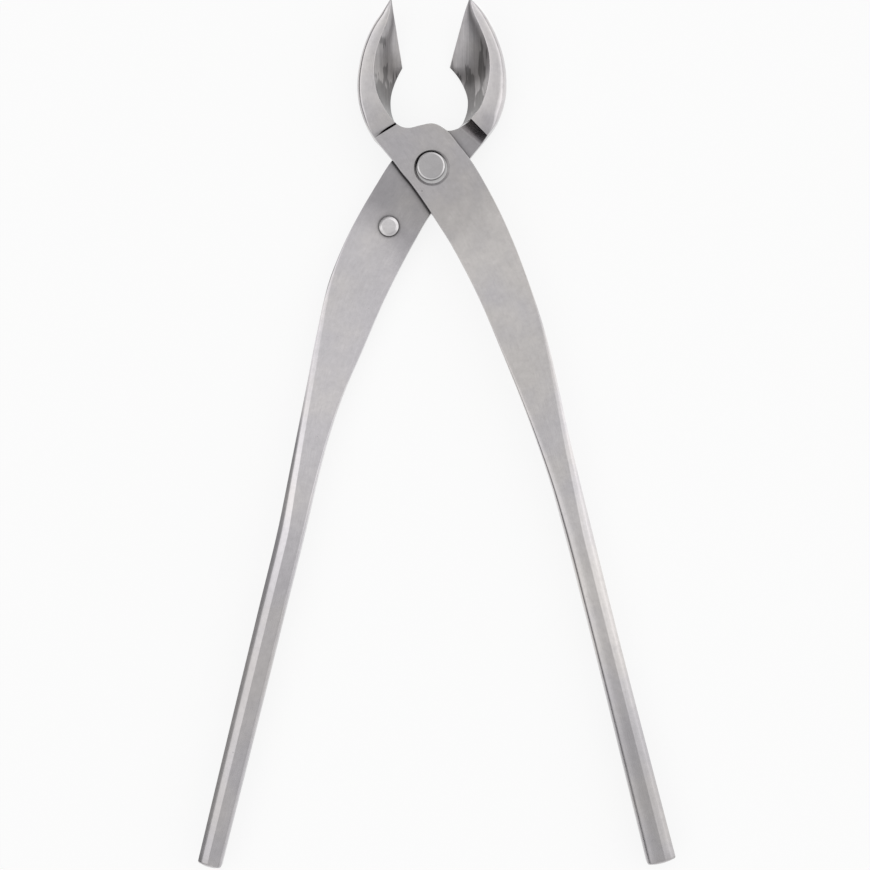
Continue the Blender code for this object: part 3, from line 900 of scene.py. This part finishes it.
    def sections(self) -> tuple[list[Array], Array, Array]:
        """All sections from the closed tip to the handle's domed end.

        Returns:
            The sections, each an array of points, the distance along the arm of each one, and how far each
            point lies in the hollow.
        """
        where = self.stations()
        turns = (None, len(self.jaw) - 1, self.corner)
        lines = [smooth_through(self.knots, self.rails[:, i], where, turn) for i, turn in enumerate(turns)]
        soft = self.smoothing(where, lines)
        both = [self.section(d, *(line[i] for line in lines), soft[i]) for i, d in enumerate(where)]
        made = [np.array(points) for points, _ in both]
        hollow = [inside for _, inside in both]
        along = list(where)
        lean = math.radians(self.handle[-1].lean)
        axis = np.array((math.sin(lean), -math.cos(lean), 0.0))
        centre = np.array((*self.handle[-1].centre, self.lap.middle))
        radius = self.handle[-1].width / 2
        last = made[-1]
        for angle in np.linspace(0, math.pi / 2, 8)[1:]:
            shrink = 1 - self.end_round / radius * (1 - math.cos(angle))
            made.append(centre + (last - centre) * shrink + axis * self.end_round * math.sin(angle))
        face, middle = made[-1], centre + axis * self.end_round
        for share in np.linspace(1, 0, self.dome_steps)[1:]:
            made.append(middle + (face - middle) * share + axis * self.end_dome * (1 - share**2))
        extra = len(made) - len(along)
        tip = np.tile(made[0].mean(axis=0), (len(last), 1))
        flags = np.array(hollow[:1] + hollow + hollow[-1:] * extra)
        return [tip] + made, np.array(along[:1] + along + along[-1:] * extra), flags

    def cage(self) -> bpy.types.Mesh:
        """The sections as loose points that carry their lie (along, around, in the hollow) for the finish.

        Returns:
            A mesh of points only, each section ending on a repeat of its first point.
        """
        sections, along, hollow = self.sections()
        rows = np.array([np.vstack([s, s[:1]]) for s in sections])
        if self.side is ArmSide.REAR:
            rows[..., 0] *= -1
        steps = np.linalg.norm(np.diff(rows, axis=1), axis=2)
        around = np.concatenate([np.zeros((len(rows), 1)), np.cumsum(steps, axis=1)], axis=1)
        hollow = np.hstack([hollow, hollow[:, :1]])
        lie = np.stack([np.repeat(along[:, None], rows.shape[1], 1) * MM, around * MM, hollow], axis=2)
        cage = bpy.data.meshes.new("cage")
        cage.vertices.add(rows.shape[0] * rows.shape[1])
        cage.vertices.foreach_set("co", (rows * MM).ravel())
        kept = cage.attributes.new("lie", "FLOAT_VECTOR", "POINT")
        kept.data.foreach_set("vector", lie.ravel())
        self.shape = rows.shape[:2]
        return cage

    def mesh(self, skin: ShapeTree) -> bpy.types.Mesh:
        """The arm's surface.

        Args:
            skin: the tree that skins the sections.

        Returns:
            A closed mesh with its faces outwards.
        """
        cage = self.cage()
        values = {
            "Sections": self.shape[0],
            "Points in a section": self.shape[1],
            "Turn faces": self.side is ArmSide.REAR,
        }
        return skin.run(self.side.value + "_steel", cage, self.finish, values)


# Turned pieces


@dataclass
class TurnedPiece:
    """A piece turned on a lathe: a profile of (radius, height) points about an upright axis."""

    name: str
    axis: Point
    profile: list[Point]
    finish: GroundSteel
    corner_radius: float = 0.10
    turn_steps: int = 128
    corner_steps: int = 4
    crease: float = 50.0

    def mesh(self, turning: ShapeTree) -> bpy.types.Mesh:
        """The turned surface.

        Args:
            turning: the tree that turns a profile.

        Returns:
            A closed mesh with its faces outwards.
        """
        chain = bpy.data.meshes.new(self.name + "_profile")
        points = [(radius * MM, 0.0, height * MM) for radius, height in self.profile]
        chain.from_pydata(points, [(i, i + 1) for i in range(len(points) - 1)], [])
        values = {
            "Turn steps": self.turn_steps,
            "Corner radius": self.corner_radius * MM,
            "Corner steps": self.corner_steps,
        }
        made = turning.run(self.name, chain, self.finish, values)
        made.transform(shift(*self.axis))
        made.set_sharp_from_angle(angle=math.radians(self.crease))
        return made


def shift(x: float, y: float) -> Matrix:
    """A matrix that moves by millimetres in plan."""
    return Matrix.Translation(Vector((x * MM, y * MM, 0.0)))


# Studio


@dataclass(frozen=True)
class Softbox:
    """A soft rectangular lamp that looks at the tool.

    Its light is given as a radiance, where 1 shows white in a perfect mirror.
    """

    name: str
    place: tuple[float, float, float]
    size: Point
    radiance: float

    def build(self, aim: Vector) -> None:
        """Puts up the lamp.

        Args:
            aim: the point that it looks at, in metres.
        """
        data = bpy.data.lights.new(self.name, "AREA")
        data.shape = "RECTANGLE"
        data.size, data.size_y = self.size[0] * MM, self.size[1] * MM
        data.energy = math.pi * data.size * data.size_y * self.radiance
        made = stand(self.name, data)
        made.location = [value * MM for value in self.place]
        made.rotation_euler = (aim - made.location).to_track_quat("-Z", "Y").to_euler()


@dataclass
class Studio:
    """Pale floor, a softbox on each side, an even sky, and the camera straight above the tool."""

    lap: Lap
    view_centre: Point = (1.08, -82.55)
    view_height: float = 749.2
    view_width: float = 269.7
    sensor: float = 36.0
    floor_size: float = 6000.0
    floor_colour: float = 0.93
    floor_roughness: float = 0.9
    floor_gap: float = 0.1
    clip_end: float = 20.0
    white_share: float = 0.84
    sky: tuple[Point, ...] = (
        (0.0, 0.18), (0.14, 0.22), (0.36, 0.92), (0.60, 1.14), (0.84, 0.90), (0.95, 0.76), (1.04, 0.70),
    )
    sky_reach: float = 1.1
    sky_scale: float = 2.0
    sky_right: float = 0.25
    sky_front: float = 0.25
    sky_lean: float = 0.3
    softboxes: tuple[Softbox, ...] = (
        Softbox("left_softbox", (-560.0, -90.0, 480.0), (300.0, 900.0), 0.22),
        Softbox("right_softbox", (620.0, -90.0, 360.0), (360.0, 900.0), 0.22),
    )

    def build(self) -> None:
        """Puts up the floor, the sky, the lamps and the camera."""
        self.floor()
        self.world()
        self.camera()
        for softbox in self.softboxes:
            softbox.build(Vector((self.view_centre[0] * MM, self.view_centre[1] * MM, 0.0)))

    def camera(self) -> None:
        """The camera looks straight down, with +Y up in its frame."""
        data = bpy.data.cameras.new("camera")
        data.sensor_width = self.sensor
        data.lens = self.sensor * self.view_height / self.view_width
        data.clip_end = self.clip_end
        made = stand("camera", data)
        x, y = self.view_centre
        made.location = (x * MM, y * MM, (self.lap.middle + self.view_height) * MM)
        bpy.context.scene.camera = made

    def floor(self) -> None:
        """A pale floor just under the tool that shows white and keeps the soft shadow."""
        half = self.floor_size * MM / 2
        mesh = bpy.data.meshes.new("floor")
        corners = [(-half, -half, 0.0), (half, -half, 0.0), (half, half, 0.0), (-half, half, 0.0)]
        mesh.from_pydata(corners, [], [(0, 1, 2, 3)])
        material = bpy.data.materials.new("pale_floor")
        material.use_nodes = True
        write = TreeWriter(material.node_tree)
        shader = material.node_tree.nodes["Principled BSDF"]
        shader.inputs["Base Color"].default_value = (self.floor_colour,) * 3 + (1.0,)
        shader.inputs["Roughness"].default_value = self.floor_roughness
        shader.inputs["Specular IOR Level"].default_value = 0.0
        path = write.add("ShaderNodeLightPath").outputs
        mirrored = write.math("MAXIMUM", path["Is Glossy Ray"], path["Is Transmission Ray"])
        seen = write.math("MAXIMUM", path["Is Camera Ray"], mirrored)
        share = write.math("MULTIPLY", seen, self.white_share)
        white = write.add("ShaderNodeEmission", {"Color": (1, 1, 1, 1), "Strength": 1.0})
        mix = write.add("ShaderNodeMixShader", {0: share, 1: shader.outputs[0], 2: white.outputs[0]})
        write.tree.links.new(mix.outputs[0], material.node_tree.nodes["Material Output"].inputs["Surface"])
        mesh.materials.append(material)
        made = stand("floor", mesh)
        made.location = (0.0, 0.0, CAD_BOX[0][2] - self.floor_gap * MM)

    def world(self) -> None:
        """A soft sky: dark low down, brightest half-way up, and calmer overhead."""
        world = bpy.data.worlds.new("studio")
        world.use_nodes = True
        bpy.context.scene.world = world
        write = TreeWriter(world.node_tree)
        look = write.add("ShaderNodeTexCoord").outputs["Generated"]
        parts = write.add("ShaderNodeSeparateXYZ", {0: look}).outputs
        height = write.math("MULTIPLY_ADD", parts[0], self.sky_right, parts[2])
        height = write.math("MULTIPLY_ADD", parts[1], -self.sky_front, height)
        ramp = write.add("ShaderNodeValToRGB", {0: write.math("MULTIPLY", height, 1 / self.sky_reach)})
        while len(ramp.color_ramp.elements) < len(self.sky):
            ramp.color_ramp.elements.new(0.5)
        for stop, (place, radiance) in zip(ramp.color_ramp.elements, self.sky):
            stop.position = place / self.sky_reach
            stop.color = (*(radiance / self.sky_scale,) * 3, 1.0)
        lean = write.math("MULTIPLY_ADD", parts[1], self.sky_scale * self.sky_lean, self.sky_scale)
        background = world.node_tree.nodes["Background"]
        background.inputs["Color"].default_value = (1, 1, 1, 1)
        write.feed(background.inputs["Strength"], lean * ramp.outputs[0])


# The tool

FRONT_JAW: list[tuple[Point, Point, Point]] = [
    ((-12.75, 51.75), (-12.5, 51.7), (-12.25, 51.6)),
    ((-15.0, 48.4), (-12.8, 48.3), (-11.8, 48.2)),
    ((-17.9, 44.1), (-14.0, 44.3), (-11.1, 44.3)),
    ((-20.2, 39.3), (-15.9, 39.5), (-10.35, 39.6)),
    ((-21.6, 35.0), (-17.1, 35.6), (-9.7, 35.8)),
    ((-22.4, 31.0), (-17.7, 31.6), (-9.05, 31.9)),
    ((-22.9, 26.5), (-17.6, 27.0), (-11.4, 27.2)),
    ((-22.75, 22.1), (-16.6, 22.4), (-12.65, 22.8)),
    ((-21.95, 17.8), (-14.9, 18.9), (-12.65, 18.8)),
    ((-20.25, 13.4), (-12.85, 15.6), (-11.8, 15.7)),
    ((-17.6, 9.0), (-10.6, 13.3), (-10.6, 13.3)),
]
FRONT_PLATE: list[tuple[Point, Point]] = [
    ((-14.8, 5.5), (-6.8, 12.1)),
    ((-12.8, 3.1), (-3.4, 12.9)),
    ((-11.2, 1.1), (0.2, 13.5)),
    ((-9.2, -1.6), (4.3, 11.6)),
    ((-6.6, -4.7), (8.5, 6.8)),
    ((-2.3, -10.7), (12.6, 1.4)),
    ((1.7, -16.8), (16.9, -5.8)),
    ((5.4, -22.6), (20.8, -13.2)),
    ((9.4, -29.8), (25.0, -22.5)),
    ((14.9, -40.8), (30.2, -36.2)),
]
REAR_JAW: list[tuple[Point, Point, Point]] = [
    ((-12.2, 51.75), (-11.9, 51.7), (-11.5, 51.6)),
    ((-15.6, 48.4), (-12.75, 48.3), (-10.25, 48.2)),
    ((-18.5, 43.9), (-14.6, 44.1), (-9.1, 44.3)),
    ((-20.7, 39.1), (-16.6, 39.3), (-7.75, 39.6)),
    ((-22.1, 34.9), (-17.7, 35.2), (-6.65, 35.8)),
    ((-22.9, 30.8), (-17.95, 31.2), (-5.65, 32.1)),
    ((-23.2, 26.3), (-17.5, 26.6), (-9.2, 27.6)),
    ((-22.95, 21.9), (-16.5, 22.4), (-11.2, 22.5)),
    ((-22.0, 17.9), (-15.1, 18.7), (-11.15, 18.9)),
    ((-20.2, 13.8), (-13.5, 16.6), (-10.3, 16.0)),
    ((-17.2, 9.7), (-12.2, 14.9), (-9.4, 14.3)),
]
REAR_PLATE: list[tuple[Point, Point]] = [
    ((-13.8, 5.6), (-6.3, 11.9)),
    ((-11.0, 2.0), (-1.4, 12.3)),
    ((-9.0, -1.3), (4.2, 11.2)),
    ((-6.4, -5.0), (8.5, 6.8)),
    ((-2.6, -10.2), (12.7, 2.0)),
    ((1.4, -15.6), (17.2, -5.1)),
    ((5.2, -22.2), (21.7, -12.7)),
    ((9.1, -29.4), (26.4, -21.6)),
    ((14.6, -40.4), (31.6, -34.4)),
]


@dataclass
class Pliers:
    """The whole tool: two arms, the rivet that joins them and the stop stud."""

    lap: Lap
    spot_face_radius: float = 5.55
    spot_face_depth: float = 0.5
    spot_face_slope: float = 0.8
    spot_face_place: Point = (0.1, -0.25)
    rivet_head_radius: float = 4.25
    rivet_head_place: Point = (-0.15, 0.3)
    rivet_bevel: Point = (0.55, 0.28)
    rivet_tail_height: float = 0.9
    cutter_rise: float = 1.0
    seat_gap: float = 0.3
    stud_bevel: float = 0.45
    shank_radius: float = 3.0
    stud_shank_radius: float = 2.0
    clearance: float = 0.1
    head_wall: float = 0.2

    def front_arm(self) -> Arm:
        """The arm on top: left jaw, front plate and right handle."""
        steel = GroundSteel(
            "front_arm_steel", (0.632, 0.612, 0.63), (0.66, 0.632, 0.62), 0.20, Grain.ALONG_ARM,
            nick=(-2.95, -7.4), stain=(-14.9, 39.3), joint_shade=0.22, lap_shade=0.7, end_shade=0.26,
            has_hollow=True,
        )
        return Arm(
            side=ArmSide.FRONT,
            lap=self.lap,
            finish=steel,
            jaw=FRONT_JAW,
            plate=FRONT_PLATE,
            neck=[
                CrossCut((28.6, -54.65), 14.4, 18.4),
                CrossCut((33.1, -68.6), 12.2, 17.2),
                CrossCut((37.2, -82.5), 10.1, 16.3),
                CrossCut((41.2, -96.5), 8.8, 15.3),
                CrossCut((44.9, -110.5), 8.4, 14.4),
            ],
            rod_length=106.35,
            rod_lean=14.2,
            rod_widths=[8.1, 8.15, 8.5, 8.9],
            band_round=1.3,
            back_round_start=44.0,
            mouth_round_start=36.0,
            rod_back_round=(0.46, 0.22),
            rod_mouth_round=(0.38, 0.20),
        )

    def rear_arm(self) -> Arm:
        """The arm below: right jaw, rear plate and left handle, drawn mirrored."""
        steel = GroundSteel(
            "rear_arm_steel", (0.642, 0.62, 0.642), (0.668, 0.64, 0.638), 0.20, Grain.ALONG_ARM,
            joint_shade=0.40, joint_reach=(14.0, 33.0), lap_reach=1.5, end_shade=0.18,
            end_reach=(165.0, 215.0), has_hollow=True,
        )
        return Arm(
            side=ArmSide.REAR,
            lap=self.lap,
            finish=steel,
            jaw=REAR_JAW,
            plate=REAR_PLATE,
            neck=[
                CrossCut((28.8, -54.65), 14.8, 17.4),
                CrossCut((33.05, -68.6), 11.6, 15.9),
                CrossCut((36.7, -82.5), 9.7, 14.3),
                CrossCut((39.9, -96.5), 8.8, 13.2),
                CrossCut((42.9, -110.5), 8.4, 13.2),
            ],
            rod_length=107.45,
            rod_lean=13.8,
            rod_widths=[8.15, 8.0, 7.75, 7.4],
            band_round=2.6,
            back_round_start=52.0,
            mouth_round_start=20.0,
            rod_back_round=(0.14, 0.20),
            rod_mouth_round=(0.42, 0.21),
        )

    def spot_face(self) -> TurnedPiece:
        """The cutter of the round seat in the front plate."""
        floor = self.lap.front_top - self.spot_face_depth
        top = self.lap.front_top + self.cutter_rise
        steel = GroundSteel(
            "spot_face_steel", (0.60, 0.59, 0.60), (0.62, 0.61, 0.60), 0.20, Grain.TURNED,
            centre=self.spot_face_place, line_width=0.12, crevice_shade=0.3, lap_shade=0.3,
        )
        radius, slope = self.spot_face_radius, self.spot_face_slope
        profile = [
            (0.0, top), (radius, top), (radius, self.lap.front_top), (radius - slope, floor), (0.0, floor),
        ]
        return TurnedPiece("spot_face", self.spot_face_place, profile, steel, corner_radius=0.15)

    def bore(self, side: ArmSide, radius: float, axis: Point) -> TurnedPiece:
        """The cutter of a straight hole through one arm's plate.

        Args:
            side: the arm that it goes through.
            radius: the hole's radius.
            axis: where its axis stands.

        Returns:
            The cutter, which ends inside the gaps above and below the plate.
        """
        reach = self.lap.gap / 2
        top = self.lap.front_top + reach
        if side is ArmSide.REAR:
            top -= self.lap.plate + self.lap.gap
        foot = top - self.lap.plate - 2 * reach
        steel = GroundSteel("bore_steel", (0.45, 0.44, 0.44), (0.45, 0.44, 0.44), 0.4, Grain.TURNED)
        profile = [(0.0, top), (radius, top), (radius, foot), (0.0, foot)]
        return TurnedPiece("bore", axis, profile, steel, corner_radius=0.0, turn_steps=64)

    def rivet(self) -> TurnedPiece:
        """The pivot rivet, from its tail head to its bevelled head."""
        foot, top = heights("pivot_rivet")
        low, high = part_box("pivot_rivet")
        tail = (high[0] - low[0]) / 2 / MM
        under = self.lap.front_top - self.spot_face_depth + self.seat_gap
        head, shank, tail_top = self.rivet_head_radius, self.shank_radius, self.rivet_tail_height
        across, drop = self.rivet_bevel
        # The head's bevelled rim gets a painted highlight.
        steel = GroundSteel(
            "rivet_steel", (0.48, 0.47, 0.48), (0.50, 0.485, 0.485), 0.24, Grain.TURNED,
            centre=self.rivet_head_place, line_width=0.10, rim_highlight=(head - across, head - 0.5 * across),
        )
        profile = [
            (0.0, top), (head - across, top), (head, top - drop), (head, under), (shank, under),
            (shank, tail_top), (tail, tail_top), (tail, foot + drop), (tail - across, foot), (0.0, foot),
        ]
        return TurnedPiece("pivot_rivet_steel", (0.0, 0.0), profile, steel)

    def stud(self) -> TurnedPiece:
        """The stop stud on the rear arm."""
        foot, top = heights("stop_stud")
        low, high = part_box("stop_stud")
        head = (high[0] - low[0]) / 2 / MM
        axis = ((low[0] + high[0]) / 2 / MM, (low[1] + high[1]) / 2 / MM)
        under = self.lap.front_top - self.lap.plate
        bevel = self.stud_bevel
        steel = GroundSteel(
            "stud_steel", (0.68, 0.66, 0.68), (0.70, 0.68, 0.68), 0.2, Grain.TURNED,
            centre=axis, line_width=0.10,
        )
        profile = [
            (0.0, top), (head - 2 * bevel, top), (head, top - bevel), (head, under),
            (self.stud_shank_radius, under), (self.stud_shank_radius, foot), (0.0, foot),
        ]
        return TurnedPiece("stop_stud_steel", axis, profile, steel)

    def build(self) -> None:
        """Makes every piece, rides it on its body and puts it in the place of its node."""
        skin, turning = skin_tree(), turning_tree()
        stud = self.stud()
        front = self.front_arm().mesh(skin)
        rear = self.rear_arm().mesh(skin)
        pivot = self.shank_radius + self.clearance
        for cutter in (self.spot_face(), self.bore(ArmSide.FRONT, pivot, (0.0, 0.0))):
            front = self.cut(front, cutter.mesh(turning))
        pressed = self.stud_shank_radius + self.clearance
        for radius, axis in ((pivot, (0.0, 0.0)), (pressed, stud.axis)):
            rear = self.cut(rear, self.bore(ArmSide.REAR, radius, axis).mesh(turning))
        self.place("front_arm_forging", front, "front_arm", "front_arm", "front_arm_steel")
        self.place("rear_arm_forging", rear, "rear_arm", "rear_arm", "rear_arm_steel")
        rivet = self.rivet().mesh(turning)
        self.shift_head(rivet)
        self.place("pivot_rivet_turned", rivet, "rear_arm", "pivot_rivet", "rivet_steel")
        self.place("stop_stud_turned", stud.mesh(turning), "rear_arm", "stop_stud", "stud_steel")

    def shift_head(self, rivet: bpy.types.Mesh) -> None:
        """Sets the hammered head a little off the shank's axis; the shank itself stays in its bore."""
        x, y = self.rivet_head_place
        under = self.lap.front_top - self.spot_face_depth + self.seat_gap
        for vertex in rivet.vertices:
            reach, height = vertex.co.xy.length / MM, vertex.co.z / MM
            outside = reach > self.shank_radius + self.clearance + self.head_wall
            if height > under + self.head_wall or (height > under - self.head_wall and outside):
                vertex.co += Vector((x * MM, y * MM, 0.0))

    @staticmethod
    def cut(mesh: bpy.types.Mesh, cutter: bpy.types.Mesh) -> bpy.types.Mesh:
        """The mesh with a cutter taken out of it.

        Args:
            mesh: the piece.
            cutter: a closed mesh, whose finish the cut takes.

        Returns:
            The cut mesh.
        """
        piece, tool = stand("piece", mesh), stand("tool", cutter)
        modifier = piece.modifiers.new("cut", "BOOLEAN")
        modifier.operation = "DIFFERENCE"
        modifier.solver = "EXACT"
        modifier.material_mode = "TRANSFER"
        modifier.object = tool
        made = plain_mesh(piece, mesh.name + "_cut")
        for each in (piece, tool):
            bpy.data.objects.remove(each)
        made.shade_smooth()
        made.set_sharp_from_angle(angle=math.radians(CUT_CREASE))
        return made

    @staticmethod
    def place(name: str, mesh: bpy.types.Mesh, body: str, node: str, slot: str) -> None:
        """Adds a finished piece.

        Args:
            name: the piece's name.
            mesh: its mesh, in place.
            body: the CAD body that it rides on.
            node: the CAD node that it replaces.
            slot: the record's material slot of its finish; not used.
        """
        piece = stand(name, mesh)
        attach(piece, body)
        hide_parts(node)
        LOG.info("%s: %d faces, finish %s", name, len(mesh.polygons), mesh.materials[0].name)


def main() -> None:
    """Builds the tool and its studio."""
    logging.basicConfig(level=logging.INFO, format="%(message)s")
    bpy.context.scene.view_settings.view_transform = "Standard"
    lap = Lap.of_frame()
    Pliers(lap).build()
    Studio(lap).build()


if __name__ == "__main__":
    main()
